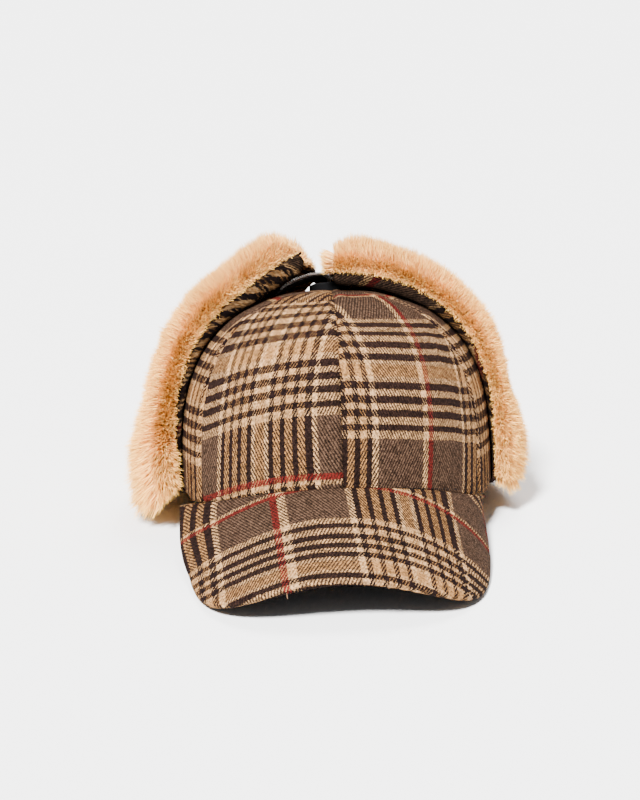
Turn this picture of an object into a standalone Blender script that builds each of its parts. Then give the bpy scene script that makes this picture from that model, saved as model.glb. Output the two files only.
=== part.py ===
"""Earflap cap: a six-panel cloth crown with a curved peak and two fur-faced flaps folded up.

Sizes are in millimetres in the cap's own frame: Z up from the underside of the hem, the
front of the cap towards -Y and the wearer's left towards +X. At the end the pieces are
tipped back until the cap stands on the two peak corners and the hem at the nape, and the
footprint is centred on the origin.
"""

import bmesh
import bpy
import numpy as np

GAP = 0.3

# Crown: half width, reach to the front and to the back, height, and the two exponents of
# its profile (how flat the top is and how round the shoulder).
CROWN_HALF_WIDTH = 83.8
CROWN_FRONT = 96.6
CROWN_BACK = 98.0
CROWN_HEIGHT = 104.2
TOP_EXPONENT = 3.23
SIDE_EXPONENT = 2.47
CROWN_WALL = 2.5
CROWN_TIP_REACH = 0.0125

# Lower edge of the crown, which dips behind the peak: angle from the front, height.
CROWN_EDGE = (
    (0.0, 7.8),
    (20.0, 6.4),
    (40.0, 2.6),
    (50.0, 0.4),
    (60.0, -1.4),
    (67.5, -1.6),
    (75.0, 2.3),
    (180.0, 2.3),
)
PANEL_COLUMNS = 8
PANEL_ROWS = 11

# Peak: its cloth lies on a cylinder that is laid along the slope of the peak.
PEAK_BEND = 92.0
PEAK_SLOPE = np.radians(25.0)
PEAK_SEAM_HEIGHT = 12.0
PEAK_LENGTH = 79.5
PEAK_HALF_ARC = 92.5
PEAK_REAR = -64.0
PEAK_SKEW = -3.0
PEAK_CORNER = 2.94
PEAK_CLOTH = 2.0
PEAK_EDGE = 3.5
PEAK_LIP = 3.4
PEAK_UNDER_CLOTH = 1.1
PEAK_COLUMNS = 15
PEAK_ROWS = 5

# Each line across the peak, from the middle out to its end:
# angle of its start on the crown seam, angle of its end on the outer edge.
PEAK_LINES = (
    (0.0, 90.0),
    (8.0, 74.0),
    (16.0, 56.0),
    (24.0, 38.0),
    (32.0, 24.0),
    (40.0, 13.5),
    (48.0, 7.0),
    (56.0, 3.0),
    (62.0, 1.1),
    (66.0, 0.25),
)

# Flaps: cloth thickness, where the hem lies inside, under and outside the crown's face and
# how high its cloth and the crown's edge lie over it, rows up a flap and columns round it.
FLAP_CLOTH = 2.0
HEM_INSIDE = 3.4
HEM_OUTSIDE = 0.8
HEM_ROUND = 1.6
FLAP_ROWS = 12
FLAP_COLUMNS = 17

# Fur: how many times as close as the cloth, reach past the flap's front and upper edges,
# and the rows that hang over the hem.
FUR_FINE = 2
FUR_AHEAD = 8.0
FUR_OVER = 4.5
HANG_ROWS = 5

# Upper edge of a flap, each line from the front to the centre of the back:
# angle at the hem, then x and y where the line ends over the crown.
RIGHT_FLAP_LINES = (
    (78.0, -14.0, -5.0),
    (88.0, -20.0, 5.0),
    (98.0, -15.0, 15.0),
    (109.0, -9.5, 24.0),
    (121.0, -6.5, 34.0),
    (133.0, -6.5, 46.0),
    (146.0, -13.0, 61.0),
    (158.0, -17.5, 73.0),
    (170.0, -9.0, 80.0),
    (180.0, 0.0, 81.5),
)
LEFT_FLAP_LINES = (
    (78.0, 0.5, -4.0),
    (88.0, 0.5, 5.0),
    (98.0, 2.0, 14.0),
    (109.0, 4.5, 24.0),
    (121.0, 6.5, 34.0),
    (133.0, 6.5, 46.0),
    (146.0, 13.0, 61.0),
    (158.0, 17.5, 73.0),
    (170.0, 9.0, 80.0),
    (180.0, 0.0, 81.5),
)

# How far the flap's inner face stands off the crown, by share of the way up:
# share, right flap at its front edge, left flap at its front edge, both at the back.
STAND_OFF = (
    (0.0, 0.8, 0.8, 0.6),
    (0.15, 2.2, 1.4, 1.0),
    (0.40, 3.4, 2.6, 1.8),
    (0.60, 4.6, 4.2, 2.8),
    (0.75, 7.0, 6.6, 4.0),
    (0.88, 12.5, 7.8, 5.4),
    (1.0, 20.0, 8.4, 6.6),
)

# Fur: share of the way up, pile depth on the right flap and the left flap, and the part
# of that depth left at the front edge, on the right and the left.
FUR_DEPTH = (
    (0.0, 30.5, 20.5, 0.15, -0.13),
    (0.1, 28.0, 20.5, 0.3, -0.13),
    (0.2, 21.0, 14.0, 0.42, -0.12),
    (0.3, 17.5, 10.5, 0.42, -0.05),
    (0.4, 15.5, 12.0, 0.42, 0.05),
    (0.6, 15.5, 14.0, 0.35, 0.05),
    (0.75, 15.5, 15.0, 0.3, 0.05),
    (0.9, 17.5, 17.0, 0.42, 0.05),
    (1.0, 19.5, 17.0, 0.42, 0.1),
)

# Lower edge of the fur, by share of the way from the front round to the back:
# share, height on the right flap, height on the left flap, share of the pile it hangs out
# on the right and on the left.
FUR_HEM = (
    (0.0, -14.5, -3.0, 0.72, 0.55),
    (0.15, -12.0, -4.5, 0.72, 0.6),
    (0.4, -4.6, -3.4, 0.60, 0.6),
    (0.65, 1.4, 0.6, 0.60, 0.6),
    (0.85, 6.4, 5.0, 0.60, 0.6),
    (1.0, 7.6, 6.4, 0.60, 0.6),
)

# Zip, from the front to its rear end: x and y of the teeth edge, its height over the
# crown, how far the tape spreads to the flap, and the height over the crown there.
ZIP_RIGHT = (
    (-29.0, -8.0, 9.5, 3.0, 6.0),
    (-21.0, -2.0, 9.2, 3.2, 5.2),
    (-12.0, 6.0, 8.0, 4.4, 4.4),
    (-4.5, 15.0, 5.6, 6.0, 4.0),
    (-1.2, 24.0, 4.6, 6.5, 4.0),
    (-1.2, 47.0, 4.4, 6.5, 4.0),
)
ZIP_LEFT = (
    (3.2, 3.0, 5.6, 6.5, 5.2),
    (2.2, 12.0, 5.0, 6.5, 4.6),
    (1.2, 24.0, 4.6, 6.5, 4.0),
    (1.2, 47.0, 4.4, 6.5, 4.0),
)
TAPE = 0.8
TOOTH_PITCH = 2.8
TOOTH_WIDTH = 1.0
TOOTH_LENGTH = 1.9
TOOTH_THICKNESS = 1.2
SLIDER = (5.6, 7.5, 2.2)
SLIDER_PLACE = 26.0
SLIDER_LIFT = 6.6


def column(table, place, at):
    """One column of a short table, read at a share or angle between its rows."""
    rows = np.array(table, float)
    return np.interp(at, rows[:, 0], rows[:, place])


def reach_at(up):
    return (1.0 - np.clip(up, 0, 1) ** TOP_EXPONENT) ** (1.0 / SIDE_EXPONENT)


def up_at(reach):
    return (1.0 - np.clip(reach, 0, 1) ** SIDE_EXPONENT) ** (1.0 / TOP_EXPONENT)


def front_or_back(angle):
    return np.where(np.cos(angle) > 0, CROWN_FRONT, CROWN_BACK)


def crown_point(up, angle, out=0.0):
    """A point on the crown, or out mm outside it. The angle runs from the front to +X."""
    reach = reach_at(up)
    x = (CROWN_HALF_WIDTH + out) * reach * np.sin(angle)
    y = -(front_or_back(angle) + out) * reach * np.cos(angle)
    return np.stack(np.broadcast_arrays(x, y, (CROWN_HEIGHT + out) * up), -1)


def crown_height(x, y):
    deep = np.where(y < 0, CROWN_FRONT, CROWN_BACK)
    return CROWN_HEIGHT * up_at(np.hypot(x / CROWN_HALF_WIDTH, y / deep))


def climb(start, end, count):
    """Shares of the crown's height that lie evenly along its profile."""
    fine = start + (end - start) * (1.0 - (1.0 - np.linspace(0, 1, 300)) ** 4)
    steps = np.hypot(90.0 * np.diff(reach_at(fine)), CROWN_HEIGHT * np.diff(fine))
    length = np.concatenate([[0.0], np.cumsum(steps)])
    return np.interp(np.linspace(0, length[-1], count + 1), length, fine)


def make_object(name, points, faces):
    mesh = bpy.data.meshes.new(name)
    mesh.from_pydata([tuple(point) for point in points], [], faces)
    work = bmesh.new()
    work.from_mesh(mesh)
    bmesh.ops.recalc_face_normals(work, faces=work.faces)
    work.to_mesh(mesh)
    work.free()
    body = bpy.data.objects.new(name, mesh)
    bpy.context.scene.collection.objects.link(body)
    return body


def border(rows, columns):
    """The places on the border of a grid, once round."""
    low = [(0, j) for j in range(columns)]
    far = [(i, columns) for i in range(rows)]
    high = [(rows, j) for j in range(columns, 0, -1)]
    near = [(i, 0) for i in range(rows, 0, -1)]
    return low + far + high + near


def shell(name, outer, inner, fine=1):
    """A closed body between two grids. The outer one may be fine times as close."""
    points = []
    faces = []
    starts = []
    for grid in (outer, inner):
        start = len(points)
        starts.append(start)
        rows, columns = grid.shape[0] - 1, grid.shape[1] - 1
        points.extend(grid.reshape(-1, 3))
        for i in range(rows):
            for j in range(columns):
                a = start + i * (columns + 1) + j
                faces.append((a, a + 1, a + columns + 2, a + columns + 1))
    wide = inner.shape[1]
    rings = [border(grid.shape[0] - 1, grid.shape[1] - 1) for grid in (outer, inner)]
    long = [starts[0] + i * outer.shape[1] + j for i, j in rings[0]]
    short = [starts[1] + i * wide + j for i, j in rings[1]]
    for k in range(len(short)):
        here, there = short[k], short[(k + 1) % len(short)]
        along = [long[(fine * k + m) % len(long)] for m in range(fine + 1)]
        if fine == 1:
            faces.append((here, there, along[1], along[0]))
            continue
        half = fine // 2
        for m in range(fine):
            faces.append((here if m < half else there, along[m], along[m + 1]))
        faces.append((here, there, along[half]))
    return make_object(name, points, faces)


def panel(name, first, last):
    """One crown panel between two seams, given by their angles in degrees."""
    grids = []
    first, last = np.radians(first), np.radians(last)
    share = np.linspace(0, 1, PANEL_COLUMNS + 1)
    edge = column(CROWN_EDGE, 1, np.degrees(np.abs(first + (last - first) * share)))
    tip = up_at(CROWN_TIP_REACH)
    ups = np.array([climb(low / CROWN_HEIGHT, tip, PANEL_ROWS) for low in edge]).T
    reach = reach_at(ups)
    for out in (0.0, -CROWN_WALL):
        wide = CROWN_HALF_WIDTH + out
        sides = []
        for seam in (first, last):
            deep = front_or_back(seam) + out
            span = np.hypot(wide * np.sin(seam), deep * np.cos(seam))
            sides.append(GAP / 2 * span / (reach * wide * deep))
        angle = first + sides[0] + (last - first - sides[0] - sides[1]) * share
        grids.append(crown_point(ups, angle, out))
    return shell(name, grids[0], grids[1])


def peak_point(across, along):
    """A point on the peak's upper face, by arc length across and length down the slope."""
    bend = across / PEAK_BEND
    x = PEAK_BEND * np.sin(bend)
    y = -CROWN_FRONT - along * np.cos(PEAK_SLOPE)
    drop = PEAK_BEND * (1.0 - np.cos(bend))
    return np.stack([x, y, PEAK_SEAM_HEIGHT - along * np.sin(PEAK_SLOPE) - drop], -1)


def peak_normal(across):
    bend = across / PEAK_BEND
    slope, rise = np.cos(PEAK_SLOPE), np.sin(PEAK_SLOPE)
    normal = np.stack([np.sin(bend) * slope, -np.cos(bend) * rise, np.cos(bend) * slope], -1)
    return normal / np.linalg.norm(normal, axis=-1, keepdims=True)


def peak_lines():
    """Start and end, across and along, of each line over the peak, right to left."""
    place = np.linspace(0, len(PEAK_LINES) - 1, PEAK_COLUMNS + 1)
    rows = np.array(PEAK_LINES)
    seam = np.radians(np.interp(place, np.arange(len(rows)), rows[:, 0]))
    edge = np.radians(np.interp(place, np.arange(len(rows)), rows[:, 1]))
    start = PEAK_BEND * np.arcsin((CROWN_HALF_WIDTH + GAP) * np.sin(seam) / PEAK_BEND)
    start_along = ((CROWN_FRONT + GAP) * np.cos(seam) - CROWN_FRONT) / np.cos(PEAK_SLOPE)
    power = 2.0 / PEAK_CORNER
    end = PEAK_HALF_ARC * np.abs(np.cos(edge)) ** power
    end_along = PEAK_REAR + (PEAK_LENGTH - PEAK_REAR) * np.sin(edge) ** power
    lines = np.stack([start, start_along, end, end_along], -1)
    return np.concatenate([lines[:0:-1] * np.array([-1, 1, -1, 1]), lines])


def below(top, normal, depth):
    """The face this far below the peak's upper face, kept upright along the crown."""
    face = top - normal * np.asarray(depth)[..., None]
    face[0] = top[0]
    face[0, :, 2] -= (np.asarray(depth) / normal[..., 2])[0]
    return face


def peak():
    """The upper cloth, which wraps the edge, and the dark cloth let in below it."""
    lines = peak_lines()
    starts, ends = lines[:, :2], lines[:, 2:]
    length = np.linalg.norm(ends - starts, axis=1)
    lip = np.minimum(PEAK_LIP, 0.35 * length)
    rows = np.linspace(0, 1, PEAK_ROWS + 1)[:-1]
    shares = [row * (length - lip) for row in rows]
    shares += [length - lip, length - 0.35 * lip, length]
    shares = np.array(shares) / length
    flat = starts + (ends - starts) * shares[..., None]
    top = peak_point(flat[..., 0], flat[..., 1])
    top[..., 0] += PEAK_SKEW * shares
    normal = peak_normal(flat[..., 0])
    depth = np.full(flat.shape[:2], PEAK_CLOTH)
    depth[-2:, :] = PEAK_EDGE
    upper = top.copy()
    upper[-1] -= 0.8 * normal[-1]
    shell("peak_top", upper, below(top, normal, depth))
    inset = 1.0 - (lip + 0.4) / length
    shares = np.linspace(0, 1, PEAK_ROWS + 1)[:, None] * inset
    wide = slice(4, len(lines) - 4)
    flat = (starts + (ends - starts) * shares[..., None])[:, wide]
    top = peak_point(flat[..., 0], flat[..., 1])
    top[..., 0] += PEAK_SKEW * shares[:, wide]
    normal = peak_normal(flat[..., 0])
    roof = np.full(flat.shape[:2], PEAK_CLOTH + GAP)
    shell("peak_under", below(top, normal, roof), below(top, normal, roof + PEAK_UNDER_CLOTH))


def crown_normal(points):
    """The crown's outward direction over or at points on its surface."""
    x, y, up = points[..., 0], points[..., 1], points[..., 2] / CROWN_HEIGHT
    deep = np.where(y < 0, CROWN_FRONT, CROWN_BACK)
    reach = np.maximum(np.hypot(x / CROWN_HALF_WIDTH, y / deep), 1e-6)
    sides = SIDE_EXPONENT * reach ** (SIDE_EXPONENT - 2.0)
    lift = TOP_EXPONENT * np.maximum(up, 0.0) ** (TOP_EXPONENT - 1.0) / CROWN_HEIGHT
    normal = np.stack([sides * x / CROWN_HALF_WIDTH**2, sides * y / deep**2, lift], -1)
    return normal / np.linalg.norm(normal, axis=-1, keepdims=True)


def flap_ends(table, side, columns, beyond):
    """Share round the flap, angle at the hem, and plan points at the hem and upper edge."""
    rows = np.array(table)
    share = np.linspace(0, 1, columns + 1)
    place = (rows[:, 0] - rows[0, 0]) / (rows[-1, 0] - rows[0, 0])
    ahead, over = beyond
    hem = np.radians(np.interp(share, place, rows[:, 0]))
    hem = hem - ahead / CROWN_HALF_WIDTH * (1 - share) ** 8
    low = np.stack([side * CROWN_HALF_WIDTH * np.sin(hem), -front_or_back(hem) * np.cos(hem)], -1)
    high = np.stack([np.interp(share, place, rows[:, 1]), np.interp(share, place, rows[:, 2])], -1)
    high[:, 1] -= ahead * (1 - share) ** 8
    reach = high - low
    high = high + reach / np.linalg.norm(reach, axis=1, keepdims=True) * over
    return share, hem, low, high


def flap_surface(table, side, up_shares, columns, beyond=(0.0, 0.0)):
    """Points on the crown under a flap, the directions out of it, and the stand-off."""
    share, hem, low, high = flap_ends(table, side, columns, beyond)
    lines = []
    fine = 1.0 - (1.0 - np.linspace(0, 1, 400)) ** 0.4
    for start, end in zip(low, high):
        plan = start + (end - start) * (np.linspace(0, 1, 600) ** 3)[:, None]
        line = np.concatenate([plan, crown_height(plan[:, 0], plan[:, 1])[:, None]], 1)
        line = line[line[:, 2] > 4.6]
        length = np.linalg.norm(np.diff(line, axis=0), axis=1)
        length = np.concatenate([[0.0], np.cumsum(length)]) / length.sum()
        lines.append(np.stack([np.interp(up_shares, length, line[:, k]) for k in range(3)], -1))
    base = np.stack(lines, 1)
    front = column(STAND_OFF, 1 if side < 0 else 2, up_shares)[:, None]
    back = column(STAND_OFF, 3, up_shares)[:, None]
    off = back + (front - back) * (1 - share) ** 2.4
    return base, crown_normal(base), off, share, hem


def hem_rows(hem, side, outs, heights):
    """Rows round the hem at given distances out from the crown and given heights."""
    rows = []
    for out, height in zip(outs, heights):
        x = side * (CROWN_HALF_WIDTH + out) * np.sin(hem)
        y = -(front_or_back(hem) + out) * np.cos(hem)
        rows.append(np.stack([x, y, height + 0.0 * x], -1))
    return np.array(rows)


def clear_of_middle(points, side, gap=GAP / 2):
    """Keeps the last line of a flap just short of the middle of the back."""
    points = points.copy()
    points[:, -1, 0] = side * gap
    return points


def flap(side_name, side, table):
    up_shares = np.linspace(0, 1, FLAP_ROWS + 1)
    base, normal, off, share, hem = flap_surface(table, side, up_shares, FLAP_COLUMNS)
    face = base + normal * off[..., None]
    back = base + normal * (off + FLAP_CLOTH)[..., None]
    turned = HEM_ROUND / 2
    heights = (FLAP_CLOTH, FLAP_CLOTH, FLAP_CLOTH + turned)
    fold = hem_rows(hem, side, (-HEM_INSIDE, 0.0, GAP + 0.2), heights)
    outs = (-HEM_INSIDE, HEM_OUTSIDE, HEM_OUTSIDE + HEM_ROUND)
    under = hem_rows(hem, side, outs, (0.0, 0.0, HEM_ROUND))
    cloth_in = clear_of_middle(np.concatenate([fold, face]), side)
    cloth_out = clear_of_middle(np.concatenate([under, back]), side)
    shell("flap_cloth_" + side_name, cloth_out, cloth_in)
    fur(side_name, side, table)


def lock_relief(rows, columns, side):
    """Height of the pile, 0 to 1, in staggered locks that rise to a tip and drop."""
    i = np.arange(rows + 1)[:, None]
    j = np.arange(columns + 1)[None, :]
    band = i // 4
    across = ((j + 2 * (band % 2)) % 4) / 4.0
    ridge = 1.0 - np.abs(2 * across - 1.0) ** 1.3
    along = 1.0 - (i % 4) / 3.0
    lean = 0.5 + 0.5 * np.sin(1.7 * band + 2.3 * ((j + 2 * (band % 2)) // 4) + side)
    return 0.55 * ridge * (0.35 + 0.65 * along) + 0.25 * along + 0.2 * lean


def fur(side_name, side, table):
    """The pile of a flap: locks on the outside, and a plain backing along the cloth."""
    rows, columns = FLAP_ROWS, FLAP_COLUMNS
    in_shares = np.linspace(0, 1, rows + 1)
    base, normal, off, share, hem = flap_surface(table, side, in_shares, columns)
    backing = base + normal * (off + FLAP_CLOTH + GAP)[..., None]
    backing = clear_of_middle(backing, side)
    fine_rows, fine_columns = FUR_FINE * rows, FUR_FINE * columns
    out_shares = np.linspace(0, 1, fine_rows + 1)
    beyond = (FUR_AHEAD, FUR_OVER)
    base, normal, off, share, hem = flap_surface(table, side, out_shares, fine_columns, beyond)
    place = 1 if side < 0 else 2
    depth = column(FUR_DEPTH, place, out_shares)[:, None]
    kept = column(FUR_DEPTH, place + 2, out_shares)[:, None]
    near_top = np.clip((1 - out_shares[:, None]) * 12.0, 0, 1) ** 0.5
    near_front = np.clip(share[None, :] * 11.0, 0, 1) ** 0.5
    body = kept + (1 - kept) * near_top * near_front
    relief = 4.2 * (lock_relief(fine_rows, fine_columns, side) - 0.5)
    pile = depth * body + relief * np.minimum(near_front + 0.3, 1)
    outs = off + FLAP_CLOTH + GAP + pile
    outer = base + normal * outs[..., None]
    drop = column(FUR_HEM, place, share)
    hang = column(FUR_HEM, place + 2, share)
    for row in range(HANG_ROWS):
        part = row / HANG_ROWS
        bulge = hang + (1 - hang) * part**0.6
        out = off[row] + FLAP_CLOTH + GAP + pile[row] * bulge
        height = drop + (outer[HANG_ROWS, :, 2] - drop) * part + 0.2 * relief[row]
        outer[row] = hem_rows(hem, side, [out], [height])[0]
    shell("flap_fur_" + side_name, clear_of_middle(outer, side, 0.3), backing, FUR_FINE)


def along_table(table, step):
    """The rows of a table at even steps along the path of its first two columns."""
    rows = np.array(table, float)[::-1]
    length = np.concatenate([[0], np.cumsum(np.hypot(*np.diff(rows[:, :2], axis=0).T))])
    places = np.arange(0.0, length[-1], step)
    return np.stack([np.interp(places, length, rows[:, k]) for k in range(5)], -1)


def zip_edges(table, side, step):
    """The teeth edge and the flap edge of a zip tape, as points in space."""
    rows = along_table(table, step)
    x, y, lift, spread, low = rows.T
    path = np.gradient(rows[:, :2], axis=0)
    path /= np.linalg.norm(path, axis=1, keepdims=True)
    away = np.stack([path[:, 1], -path[:, 0]], -1) * side
    away *= np.sign((away @ np.array([side, 0.0])).mean())
    flap_x, flap_y = x + away[:, 0] * spread, y + away[:, 1] * spread
    teeth = np.stack([x, y, crown_height(x, y) + lift], -1)
    edge = np.stack([flap_x, flap_y, crown_height(flap_x, flap_y) + low], -1)
    return teeth, edge


def across_and_normal(teeth, edge):
    across = teeth - edge
    across /= np.linalg.norm(across, axis=1, keepdims=True)
    path = np.gradient(teeth, axis=0)
    normal = np.cross(path, across)
    normal /= np.linalg.norm(normal, axis=1, keepdims=True)
    return across, normal * np.sign(normal[:, 2:])


def tape(side_name, side, table):
    teeth, edge = zip_edges(table, side, 4.0)
    across, normal = across_and_normal(teeth, edge)
    upper = np.array([edge, teeth])
    shell("zip_tape_" + side_name, upper, upper - normal * TAPE)


def comb(side_name, side, table, phase):
    """A row of zip teeth on a strip that lies on the tape's upper face."""
    fine = 0.1
    teeth, edge = zip_edges(table, side, fine)
    across, normal = across_and_normal(teeth, edge)
    teeth = teeth + normal * GAP
    count = int((len(teeth) * fine - 1.5) / TOOTH_PITCH)
    points = []
    faces = []
    for k in range(2 * count):
        place = (k // 2 + phase) * TOOTH_PITCH + (k % 2) * TOOTH_WIDTH
        at = int(round(place / fine))
        root, direction, raise_by = teeth[at], across[at], normal[at] * TOOTH_THICKNESS
        outs = (-2.0, 0.0, TOOTH_LENGTH)
        for out in outs:
            points.append(root + direction * out)
            points.append(root + direction * out + raise_by)
        a = 6 * k
        b = a + 6
        if k == 0:
            faces.append((a, a + 1, a + 3, a + 2))
        if k == 2 * count - 1:
            faces.append((a, a + 1, a + 3, a + 2))
        if k < 2 * count - 1:
            faces.append((a, b, b + 1, a + 1))
            faces.append((a, a + 2, b + 2, b))
            faces.append((a + 1, b + 1, b + 3, a + 3))
            if k % 2:
                faces.append((a + 2, a + 3, b + 3, b + 2))
        if k % 2 == 0:
            faces.append((a + 2, a + 4, b + 4, b + 2))
            faces.append((a + 3, b + 3, b + 5, a + 5))
            faces.append((a + 4, a + 5, b + 5, b + 4))
        faces.append((a + 2, a + 3, a + 5, a + 4))
    make_object("zip_teeth_" + side_name, points, faces)


def slider():
    """One plain piece that rides over both rows of teeth where the zip opens."""
    wide, long, high = SLIDER
    outline = ((-0.5, 0.35), (-0.35, 0.5), (0.35, 0.5), (0.5, 0.35), (0.3, -0.5), (-0.3, -0.5))
    points = []
    for level, shrink in ((0.0, 1.0), (0.7, 1.0), (1.0, 0.8)):
        for u, v in outline:
            y = SLIDER_PLACE - v * long * shrink
            base = crown_height(0.0, np.float64(y)) + SLIDER_LIFT
            points.append((u * wide * shrink, y, base + level * high))
    faces = [tuple(range(6)), tuple(range(12, 18))]
    for ring in (0, 6):
        for k in range(6):
            m = (k + 1) % 6
            faces.append((ring + k, ring + m, ring + 6 + m, ring + 6 + k))
    make_object("zip_slider", points, faces)


def coordinates(body):
    found = np.empty(len(body.data.vertices) * 3)
    body.data.vertices.foreach_get("co", found)
    return found.reshape(-1, 3)


def tipped(points, lean):
    """Points tipped back, so that the front rises."""
    across = points[:, 1] * np.cos(lean) + points[:, 2] * np.sin(lean)
    rise = points[:, 2] * np.cos(lean) - points[:, 1] * np.sin(lean)
    return np.stack([points[:, 0], across, rise], -1)


def stand(bodies):
    """Tips the cap back until peak and hem both touch the floor, centres it, and scales."""
    found = {body.name: coordinates(body) for body in bodies}
    front = found["peak_top"]
    back = np.concatenate([found["flap_cloth_right"], found["flap_cloth_left"]])
    low, high = 0.0, np.radians(25.0)
    for _ in range(60):
        lean = (low + high) / 2
        if tipped(front, lean)[:, 2].min() < tipped(back, lean)[:, 2].min():
            low = lean
        else:
            high = lean
    placed = {name: tipped(points, lean) for name, points in found.items()}
    every = np.concatenate(list(placed.values()))
    middle = (every.min(axis=0) + every.max(axis=0)) / 2
    shift = np.array([middle[0], middle[1], placed["peak_top"][:, 2].min()])
    for body in bodies:
        points = (placed[body.name] - shift) * 0.001
        body.data.vertices.foreach_set("co", points.reshape(-1))
        body.data.update()
    print("lean", np.degrees(lean), "shift", shift)


def main():
    bpy.ops.wm.read_factory_settings(use_empty=True)
    panel("crown_front_right", -60.0, 0.0)
    panel("crown_front_left", 0.0, 60.0)
    panel("crown_side_right", -120.0, -60.0)
    panel("crown_side_left", 60.0, 120.0)
    panel("crown_back_right", -180.0, -120.0)
    panel("crown_back_left", 120.0, 180.0)
    peak()
    flap("right", -1, RIGHT_FLAP_LINES)
    flap("left", 1, LEFT_FLAP_LINES)
    tape("right", -1, ZIP_RIGHT)
    tape("left", 1, ZIP_LEFT)
    comb("right", -1, ZIP_RIGHT, 0.1)
    comb("left", 1, ZIP_LEFT, 0.6)
    slider()
    stand(list(bpy.context.scene.objects))


main()
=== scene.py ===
"""The look of the earflap cap: plaid wool crown and peak, folded flaps, pile and zip.

Sizes are in millimetres in the cap's own frame (Z up from the underside of the hem, front
towards -Y, the wearer's left towards +X) and are tipped and scaled to the CAD frame when a
mesh is made.
"""

import bpy
import numpy as np
from mathutils import Matrix, Vector

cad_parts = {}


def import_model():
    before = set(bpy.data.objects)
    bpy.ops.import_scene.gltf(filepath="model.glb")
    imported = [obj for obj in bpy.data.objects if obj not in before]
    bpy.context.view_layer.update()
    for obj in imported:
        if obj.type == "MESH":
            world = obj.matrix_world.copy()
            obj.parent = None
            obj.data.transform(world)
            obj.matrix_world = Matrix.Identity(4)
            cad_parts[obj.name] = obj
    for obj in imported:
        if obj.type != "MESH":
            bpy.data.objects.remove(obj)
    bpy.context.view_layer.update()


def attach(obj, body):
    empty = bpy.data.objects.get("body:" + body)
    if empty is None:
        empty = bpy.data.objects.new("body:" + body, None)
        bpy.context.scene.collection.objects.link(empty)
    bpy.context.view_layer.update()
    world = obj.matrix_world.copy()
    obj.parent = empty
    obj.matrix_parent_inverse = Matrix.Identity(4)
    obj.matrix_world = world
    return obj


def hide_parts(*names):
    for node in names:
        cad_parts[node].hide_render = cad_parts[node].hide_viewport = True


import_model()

# The lean and the shift of the cap's frame in the CAD frame.
LEAN = np.radians(9.5205)
SHIFT = np.array([-4.1855, -21.8057, -16.3416])

# Clearance between neighbouring pieces.
GAP = 0.3
CROWN_HALF_WIDTH = 83.8
CROWN_FRONT = 96.6
CROWN_BACK = 98.0
CROWN_HEIGHT = 104.2
# Radii for lengths along the crown's surface: up it, and away from its seams.
CLIMB_RADIUS = 90.0
SEAM_RADIUS = 84.0
TOP_EXPONENT = 3.23
SIDE_EXPONENT = 2.47
CROWN_WALL = 2.5
CROWN_TIP_REACH = 0.0125
# Distance of the row of stitches from the lower edge at the brow.
BROW_ROW = 2.9
# Height of the crown's lower edge, by degrees from the front.
CROWN_EDGE = (
    (0, 7.8), (20, 6.4), (40, 2.6), (50, 0.4), (60, -1.4), (67.5, -1.6),
    (75, 2.3), (180, 2.3),
)

PEAK_BEND = 92.0
PEAK_SLOPE = np.radians(25.0)
PEAK_SEAM_HEIGHT = 12.0
PEAK_LENGTH = 79.5
PEAK_HALF_ARC = 92.5
PEAK_REAR = -64.0
PEAK_SKEW = -3.0
PEAK_CORNER = 2.94
PEAK_CLOTH = 2.0
PEAK_EDGE = 3.5
PEAK_LIP = 3.4
PEAK_UNDER_CLOTH = 1.1
# Degrees round the seam and round the rim where each line over the peak starts and ends.
PEAK_LINES = (
    (0, 90), (8, 74), (16, 56), (24, 38), (32, 24), (40, 13.5),
    (48, 7), (56, 3), (62, 1.1), (66, 0.25),
)

FLAP_CLOTH = 2.0
HEM_INSIDE = 3.4
FOLD_HEIGHT = 4.6
FUR_AHEAD = 8.0
FUR_OVER = 4.5
HANG_SHARE = 5.0 / 24.0
# For each line up a flap: degrees round the hem, and where in plan it ends.
RIGHT_FLAP_LINES = (
    (78, -14, -5), (88, -20, 5), (98, -15, 15), (109, -9.5, 24),
    (121, -6.5, 34), (133, -6.5, 46), (146, -13, 61), (158, -17.5, 73),
    (170, -9, 80), (180, 0, 81.5),
)
LEFT_FLAP_LINES = (
    (78, 0.5, -4), (88, 0.5, 5), (98, 2, 14), (109, 4.5, 24),
    (121, 6.5, 34), (133, 6.5, 46), (146, 13, 61), (158, 17.5, 73),
    (170, 9, 80), (180, 0, 81.5),
)
# By share of the way up a flap: how far it stands off the crown at the right front
# edge, at the left front edge and at the back.
STAND_OFF = (
    (0, 0.8, 0.8, 0.6), (0.15, 2.2, 1.4, 1), (0.40, 3.4, 2.6, 1.8), (0.60, 4.6, 4.2, 2.8),
    (0.75, 7, 6.6, 4), (0.88, 12.5, 7.8, 5.4), (1, 20, 8.4, 6.6),
)
# By share of the way up: depth of the pile on the right and on the left, then the share
# of it that stays at the front edge, right and left.
FUR_DEPTH = (
    (0, 30.5, 20.5, 0.15, -0.13), (0.1, 28, 20.5, 0.3, -0.13),
    (0.2, 21, 14, 0.42, -0.12), (0.3, 17.5, 10.5, 0.42, -0.05),
    (0.4, 15.5, 12, 0.42, 0.05), (0.6, 15.5, 14, 0.35, 0.05),
    (0.75, 15.5, 15, 0.3, 0.05), (0.9, 17.5, 17, 0.42, 0.05), (1, 19.5, 17, 0.42, 0.1),
)
# By share of the way back along the hem: height to which the pile hangs on the right
# and on the left, then the share of its depth there, right and left.
FUR_HEM = (
    (0, -14.5, -3, 0.72, 0.55), (0.15, -12, -4.5, 0.72, 0.6),
    (0.4, -4.6, -3.4, 0.60, 0.6), (0.65, 1.4, 0.6, 0.60, 0.6),
    (0.85, 6.4, 5, 0.60, 0.6), (1, 7.6, 6.4, 0.60, 0.6),
)
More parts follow.
